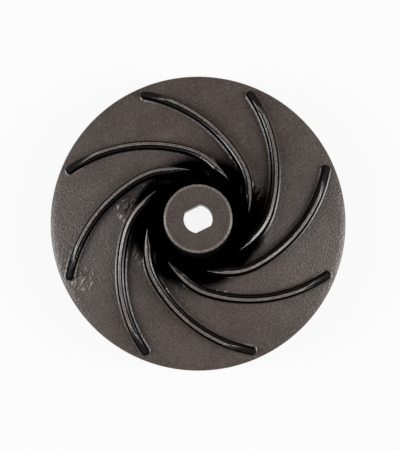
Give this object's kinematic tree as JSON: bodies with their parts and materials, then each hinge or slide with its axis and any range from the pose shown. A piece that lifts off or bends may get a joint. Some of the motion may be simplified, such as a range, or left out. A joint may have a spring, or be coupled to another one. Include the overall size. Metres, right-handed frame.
{
  "type": "pump impeller",
  "caption": "Semi-open centrifugal pump impeller: swept vanes on a round back disc, with a raised hub in a deep annular well and a double-D shaft bore.",
  "frame": {"origin": "middle of the flat back face, on the shaft axis", "axes": "+Z along the shaft towards the hub's nose and the vanes; the flats of the bore are parallel to X"},
  "size_m": [0.125, 0.125, 0.044],
  "materials": {
    "casting": "black dip coat over the grain of a sand casting, half gloss"
  },
  "bodies": {
    "root": {"impeller": "casting"}
  },
  "joints": []
}
